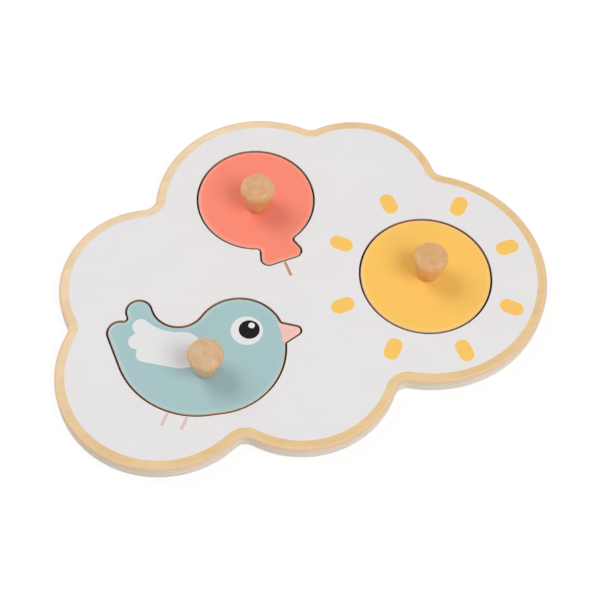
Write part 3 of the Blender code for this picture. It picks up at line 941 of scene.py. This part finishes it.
class PUZZLE_OT_pieces(Operator):
    """Build the sun, balloon and bird pieces that lie in the recesses"""

    bl_idname = "puzzle.pieces"
    bl_label = "Lift-out pieces"

    def execute(self, context):
        board = context.scene.puzzle_board
        colours = context.scene.puzzle_pieces
        edge = PIECE_TOP - colours.drop
        shared = (
            veneer_material("piece_underside", board.veneer_light, board.veneer_dark),
            # The pieces' sawn walls and bare rims turn darker towards the bottom with painted
            # shade of the gap.
            sawn_material("piece_edge", PIECE_BOTTOM, edge, board.sawn_dark, board.sawn_light),
            sawn_material("piece_rim", edge, PIECE_TOP, board.edge_warm, board.edge_light),
        )
        prints = {}
        for name in ("yellow", "coral", "teal", "white", "black", "pink"):
            prints[name] = print_material(name + "_print", getattr(colours, name))
        worn = {}
        for name in ("yellow", "coral", "teal", "pink"):
            # The sanded print is paled towards white with painted sheen.
            sheened = [level + (1.0 - level) * SANDED_PRINT_SHEEN for level in getattr(colours, name)]
            worn[name] = print_material(name + "_worn_print", sheened, WORN_FINISH)
        sun = (prints["yellow"], *shared, worn["yellow"])
        balloon = (prints["coral"], *shared, worn["coral"])
        motifs = (prints["white"], prints["black"], prints["pink"], worn["pink"])
        bird = (prints["teal"], *shared, worn["teal"], *motifs)
        self.build_piece(context, "sun", "yellow_paint", sun_circles(), sun)
        self.build_piece(context, "balloon", "coral_paint", balloon_circles(), balloon)
        self.build_piece(context, "bird", "teal_paint", bird_circles(), bird, self.print_bird)
        return {"FINISHED"}

    def build_piece(self, context, name, slot, circles, materials, print_motifs=None):
        """A flat piece with sanded edges, a printed top and the hole for its knob."""
        sizes = context.scene.puzzle_pieces
        hole = knob_hole(context.scene.puzzle_knobs)
        bore = [(*knob_axis(name).xy, hole[0][0])]
        lower = quarter_round(sizes.rounding, PIECE_BOTTOM, upwards=False)
        upper = quarter_round(sizes.drop, PIECE_TOP, width=sizes.sanded)
        bm = bmesh.new()
        bottom = draw_outline(bm, circles, *lower[-1])
        wall = strip(bm, bottom, [*reversed(lower[:-1]), upper[0]], PIECE_EDGE)
        rim = strip(bm, wall, upper[1 : BARE_STEPS + 1], BARE_RIM)
        top = strip(bm, rim, upper[BARE_STEPS + 1 :], WORN)
        mouth = draw_outline(bm, bore, 0.0, PIECE_TOP)
        stations = [(radius - hole[0][0], height) for radius, height in hole[1:]]
        fill(bm, [bottom, strip(bm, mouth, stations, UNDERSIDE)], UNDERSIDE)
        inner = [mouth]
        if print_motifs:
            top, drawn = print_motifs(bm, top)
            inner += drawn
        fill(bm, [top, *inner], TOP)
        finish_piece(bm, name + "_piece_printed", name, name + "_piece", materials)

    def print_bird(self, bm, top):
        """Wing, eye and beak; returns what is left of the top, and the loops inside it."""
        wing = draw_outline(bm, wing_circles(), 0.0, PIECE_TOP)
        fill(bm, [wing], WHITE)
        eye = []
        for circle in (EYE_WHITE, EYE_BLACK, EYE_GLINT):
            eye.append(draw_outline(bm, placed([circle], BIRD_PLACE), 0.0, PIECE_TOP))
        fill(bm, eye[:2], WHITE)
        fill(bm, eye[1:], BLACK)
        fill(bm, eye[2:], WHITE)
        base = middle_of_arc(bird_circles(), -1)
        crown = middle_of_arc(bird_circles(), 1)
        first = min(range(len(top)), key=lambda index: (top[index][1].xy - base).length)
        points = top[first:] + top[:first]
        last = min(range(len(points)), key=lambda index: (points[index][1].xy - crown).length)
        arc = draw_arc(bm, points[0], points[last], BEAK_ARC_RADIUS)
        fill(bm, [[*points[: last + 1], *reversed(arc)]], PINK)
        # The beak's part of the sanded rim lies beyond the line across its root, between the two
        # corners where it meets the head.
        start = points[0][0].co.xy
        end = points[last][0].co.xy
        for face in bm.faces:
            middle = face.calc_center_median().xy
            beyond = (middle - start).cross(end - start) > 0.0
            above_base = points[0][2].xy.cross(middle - start) > 0.0
            below_crown = points[last][2].xy.cross(middle - end) < 0.0
            if beyond and above_base and below_crown and face.material_index == WORN:
                face.material_index = WORN_PINK
        return [*points[last:], points[0], *arc], [wing, eye[0]]


def knob_axis(name):
    """Place of a piece's knob on the board, at height 0."""
    low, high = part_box(name + "_knob")
    return Vector(((low.x + high.x) / 2.0, (low.y + high.y) / 2.0, 0.0))


def knob_hole(knobs):
    """Stepped hole for a knob's spigot and screw: (radius, height) from the top down."""
    hole = knobs.spigot_radius + knobs.clearance
    shank = SCREW_SHANK_RADIUS + knobs.clearance
    head = SCREW_HEAD_RADIUS + knobs.clearance
    floor = KNOB_LOW.z - knobs.clearance
    rim = SCREW_LOW.z + SCREW_RIM
    return [
        (hole, PIECE_TOP),
        (hole, floor),
        (shank, floor),
        (shank, rim + head - shank),
        (head, rim),
        (head, PIECE_BOTTOM),
    ]


def knob_profile(knobs, radius, low, high):
    """Dished top with a lathe's mark, swelling lip, taper, and bored spigot."""
    rounding = knobs.rim_rounding
    top_radius = radius - knobs.lip_width - rounding * math.sin(knobs.lip_slope)
    widest = high - knobs.lip_drop
    seat = PIECE_TOP + KNOB_SEAT_GAP
    profile = [
        (0.0, high - knobs.dish - knobs.mark_depth),
        (knobs.mark_radius, high - knobs.dish),
    ]
    for step in range(1, DISH_STEPS + 1):
        across = knobs.mark_radius + (top_radius - knobs.mark_radius) * step / DISH_STEPS
        profile.append((across, high - knobs.dish * (1.0 - (across / top_radius) ** 4)))
    for step in range(1, RIM_STEPS + 1):
        angle = knobs.lip_slope * step / RIM_STEPS
        drop = rounding * (1.0 - math.cos(angle))
        profile.append((top_radius + rounding * math.sin(angle), high - drop))
    rim = Vector((*profile[-1], 0.0))
    corner = Vector((radius, rim.y - (radius - rim.x) * math.tan(knobs.lip_slope), 0.0))
    lip = Vector((radius, widest, 0.0))
    for step in range(1, LIP_STEPS + 1):
        share = step / LIP_STEPS
        point = rim.lerp(corner, share).lerp(corner.lerp(lip, share), share)
        profile.append((point.x, point.y))
    ankle = seat + knobs.foot_chamfer
    for step in range(1, TAPER_STEPS + 1):
        share = step / TAPER_STEPS
        across = radius + (knobs.foot_radius - radius) * share
        profile.append((across, widest + (ankle - widest) * share))
    profile.append((knobs.foot_radius - knobs.foot_chamfer, seat))
    bore = SCREW_SHANK_RADIUS + knobs.clearance
    bore_top = SCREW_HIGH.z + knobs.clearance
    return [
        *profile,
        (knobs.spigot_radius, seat),
        (knobs.spigot_radius, low),
        (bore, low),
        (bore, bore_top),
        (0.0, bore_top + bore),
    ]


class PUZZLE_OT_knobs(Operator):
    """Build the three turned beech knobs and their screws"""

    bl_idname = "puzzle.knobs"
    bl_label = "Knobs and screws"

    def execute(self, context):
        knobs = context.scene.puzzle_knobs
        steel = steel_material("zinc_plated_steel", knobs.steel)
        for name, (pith, turn) in KNOB_GRAIN.items():
            colour = getattr(knobs, name + "_beech")
            low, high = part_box(name + "_knob")
            axis = knob_axis(name)
            profile = knob_profile(knobs, (high.x - low.x) / 2.0, low.z, high.z)
            bm = turned_mesh(profile, axis, KNOB_STEPS)
            for face in bm.faces:
                on_top = face.calc_center_median().z > high.z - 2.0 * knobs.dish
                face.material_index = KNOB_END if on_top else KNOB_SIDE
            centre = (axis.x + pith[0], axis.y + pith[1], 0.0)
            # Both materials carry painted bounce light from the piece's print in their colour.
            side = beech_material(name + "_beech", colour, centre, turn)
            darker = [level * tint for level, tint in zip(colour, END_GRAIN)]
            end = beech_material(name + "_end_grain", darker, centre, turn)
            finish_piece(bm, name + "_knob_turned", name, name + "_knob", (side, end))
            self.build_screw(name, axis, steel)
        return {"FINISHED"}

    def build_screw(self, name, axis, steel):
        """Countersunk screw, point up: cross-shaped recess, cone and threaded shank."""
        rim = SCREW_LOW.z + SCREW_RIM
        cone = rim + SCREW_HEAD_RADIUS - THREAD_ROOT
        tip = SCREW_HIGH.z - SCREW_POINT
        stations = (
            (0.0, rim),
            (THREAD_ROOT - SCREW_HEAD_RADIUS, cone),
            (THREAD_ROOT - SCREW_HEAD_RADIUS, tip),
            (SCREW_TIP_RADIUS - SCREW_HEAD_RADIUS, SCREW_HIGH.z),
        )
        bm = bmesh.new()
        head = draw_outline(bm, [(axis.x, axis.y, SCREW_HEAD_RADIUS)], 0.0, SCREW_LOW.z)
        driver = draw_outline(bm, driver_circles(axis.xy), 0.0, SCREW_LOW.z)
        fill(bm, [head, driver])
        fill(bm, [carry(bm, driver, -DRIVER_TAPER, SCREW_LOW.z + DRIVER_DEPTH)])
        fill(bm, [strip(bm, head, stations)])
        cut_thread(bm, axis, cone, tip)
        node = name + "_knob_screw"
        finish_piece(bm, node + "_threaded", name, node, (steel,))


# Stage


def direction(azimuth, elevation):
    """Unit vector towards an azimuth and elevation; azimuth 0 is the front, 90 degrees +X."""
    level = math.cos(elevation)
    return Vector((math.sin(azimuth) * level, -math.cos(azimuth) * level, math.sin(elevation)))


class PUZZLE_OT_stage(Operator):
    """Set up the pale floor, the studio lamps and the camera"""

    bl_idname = "puzzle.stage"
    bl_label = "Stage"

    def execute(self, context):
        scene = context.scene
        scene.view_settings.view_transform = "Standard"
        self.build_camera(scene, scene.puzzle_stage)
        self.build_floor(scene)
        self.build_world(scene)
        for name, azimuth, elevation, side, share in LAMPS:
            self.build_lamp(scene, name, azimuth, elevation, side, share)
        return {"FINISHED"}

    def build_camera(self, scene, stage):
        """Camera at the photograph's angle."""
        camera = bpy.data.objects.new("camera", bpy.data.cameras.new("camera"))
        camera.data.lens = stage.lens
        back = direction(stage.azimuth, stage.elevation)
        look = (-back).to_track_quat("-Z", "Y")
        camera.rotation_mode = "QUATERNION"
        camera.rotation_quaternion = look @ Matrix.Rotation(stage.roll, 3, "Z").to_quaternion()
        camera.location = Vector(stage.aim) + back * stage.distance
        scene.collection.objects.link(camera)
        scene.camera = camera

    def build_floor(self, scene):
        """Large pale floor that keeps the object's shadow and looks white to the camera."""
        bm = bmesh.new()
        bmesh.ops.create_grid(bm, x_segments=1, y_segments=1, size=FLOOR_SIZE / 2.0)
        mesh = bpy.data.meshes.new("floor")
        bm.to_mesh(mesh)
        bm.free()
        floor = bpy.data.objects.new("floor", mesh)
        scene.collection.objects.link(floor)
        material = bpy.data.materials.new("pale_floor")
        material.use_nodes = True
        tree = material.node_tree
        tree.nodes.clear()
        speckle = noise(tree, (0.02, 0.02, 0.02), detail=3.0)
        ground = tones(tree, speckle, ((0.3, (0.86, 0.86, 0.86)), (0.7, (0.90, 0.90, 0.90))))
        matt = add_node(tree, "ShaderNodeBsdfDiffuse", {"Color": ground}).outputs[0]
        glow = add_node(tree, "ShaderNodeEmission", {"Strength": FLOOR_GLOW}).outputs[0]
        inputs = {0: FLOOR_GLOW_SHARE, 1: matt, 2: glow}
        seen = add_node(tree, "ShaderNodeMixShader", inputs).outputs[0]
        camera_ray = add_node(tree, "ShaderNodeLightPath").outputs["Is Camera Ray"]
        chosen = add_node(tree, "ShaderNodeMixShader", {0: camera_ray, 1: matt, 2: seen})
        add_node(tree, "ShaderNodeOutputMaterial", {"Surface": chosen.outputs[0]})
        mesh.materials.append(material)

    def build_world(self, scene):
        """White surroundings for the camera and for reflections, a dim even fill for the rest."""
        world = bpy.data.worlds.new("studio")
        world.use_nodes = True
        tree = world.node_tree
        tree.nodes.clear()
        white = (1.0, 1.0, 1.0, 1.0)
        inputs = {"Color": white, "Strength": WORLD_FILL}
        even = add_node(tree, "ShaderNodeBackground", inputs).outputs[0]
        seen = add_node(tree, "ShaderNodeBackground", {"Color": white, "Strength": 1.0}).outputs[0]
        path = add_node(tree, "ShaderNodeLightPath").outputs
        chosen = path["Is Camera Ray"]
        for ray in ("Is Glossy Ray", "Is Transmission Ray"):
            inputs = {0: chosen, 1: path[ray]}
            chosen = add_node(tree, "ShaderNodeMath", inputs, operation="MAXIMUM").outputs[0]
        mixed = add_node(tree, "ShaderNodeMixShader", {0: chosen, 1: even, 2: seen}).outputs[0]
        add_node(tree, "ShaderNodeOutputWorld", {"Surface": mixed})
        scene.world = world

    def build_lamp(self, scene, name, azimuth, elevation, side, share):
        """Square softbox that gives its share of the light on the board."""
        lamp = bpy.data.lights.new(name, "AREA")
        lamp.shape = "SQUARE"
        lamp.size = side
        # From this far off, the lamp alone shows white on the board at its share of full white.
        lamp.energy = share * (math.pi * LAMP_DISTANCE) ** 2 / math.sin(elevation)
        back = direction(azimuth, elevation)
        lit = bpy.data.objects.new(name, lamp)
        lit.location = back * LAMP_DISTANCE
        lit.rotation_mode = "QUATERNION"
        lit.rotation_quaternion = (-back).to_track_quat("-Z", "Y")
        scene.collection.objects.link(lit)


class PUZZLE_PT_sidebar(Panel):
    """Knob puzzle settings and build steps"""

    bl_idname = "PUZZLE_PT_sidebar"
    bl_label = "Knob Puzzle"
    bl_space_type = "VIEW_3D"
    bl_region_type = "UI"
    bl_category = "Knob Puzzle"

    def draw(self, context):
        layout = self.layout
        for group, title, _settings in SETTINGS:
            box = layout.box()
            box.label(text=title)
            settings = getattr(context.scene, group)
            for name in settings.__annotations__:
                box.prop(settings, name)
        for operator in OPERATORS:
            layout.operator(operator.bl_idname)


SETTINGS = (
    ("puzzle_board", "Board", PUZZLE_PG_board),
    ("puzzle_rays", "Rays", PUZZLE_PG_rays),
    ("puzzle_pieces", "Pieces", PUZZLE_PG_pieces),
    ("puzzle_knobs", "Knobs", PUZZLE_PG_knobs),
    ("puzzle_stage", "Stage", PUZZLE_PG_stage),
)
OPERATORS = (PUZZLE_OT_stage, PUZZLE_OT_board, PUZZLE_OT_pieces, PUZZLE_OT_knobs)


def register():
    """Add the settings, the operators and the panel."""
    for group, _title, settings in SETTINGS:
        bpy.utils.register_class(settings)
        setattr(bpy.types.Scene, group, PointerProperty(type=settings))
    for kind in (*OPERATORS, PUZZLE_PT_sidebar):
        bpy.utils.register_class(kind)


def unregister():
    """Take the settings, the operators and the panel away again."""
    for kind in reversed((*OPERATORS, PUZZLE_PT_sidebar)):
        bpy.utils.unregister_class(kind)
    for group, _title, settings in reversed(SETTINGS):
        delattr(bpy.types.Scene, group)
        bpy.utils.unregister_class(settings)


def main():
    """Build the stage and the puzzle."""
    register()
    bpy.ops.puzzle.stage()
    bpy.ops.puzzle.board()
    bpy.ops.puzzle.pieces()
    bpy.ops.puzzle.knobs()


if __name__ == "__main__":
    main()
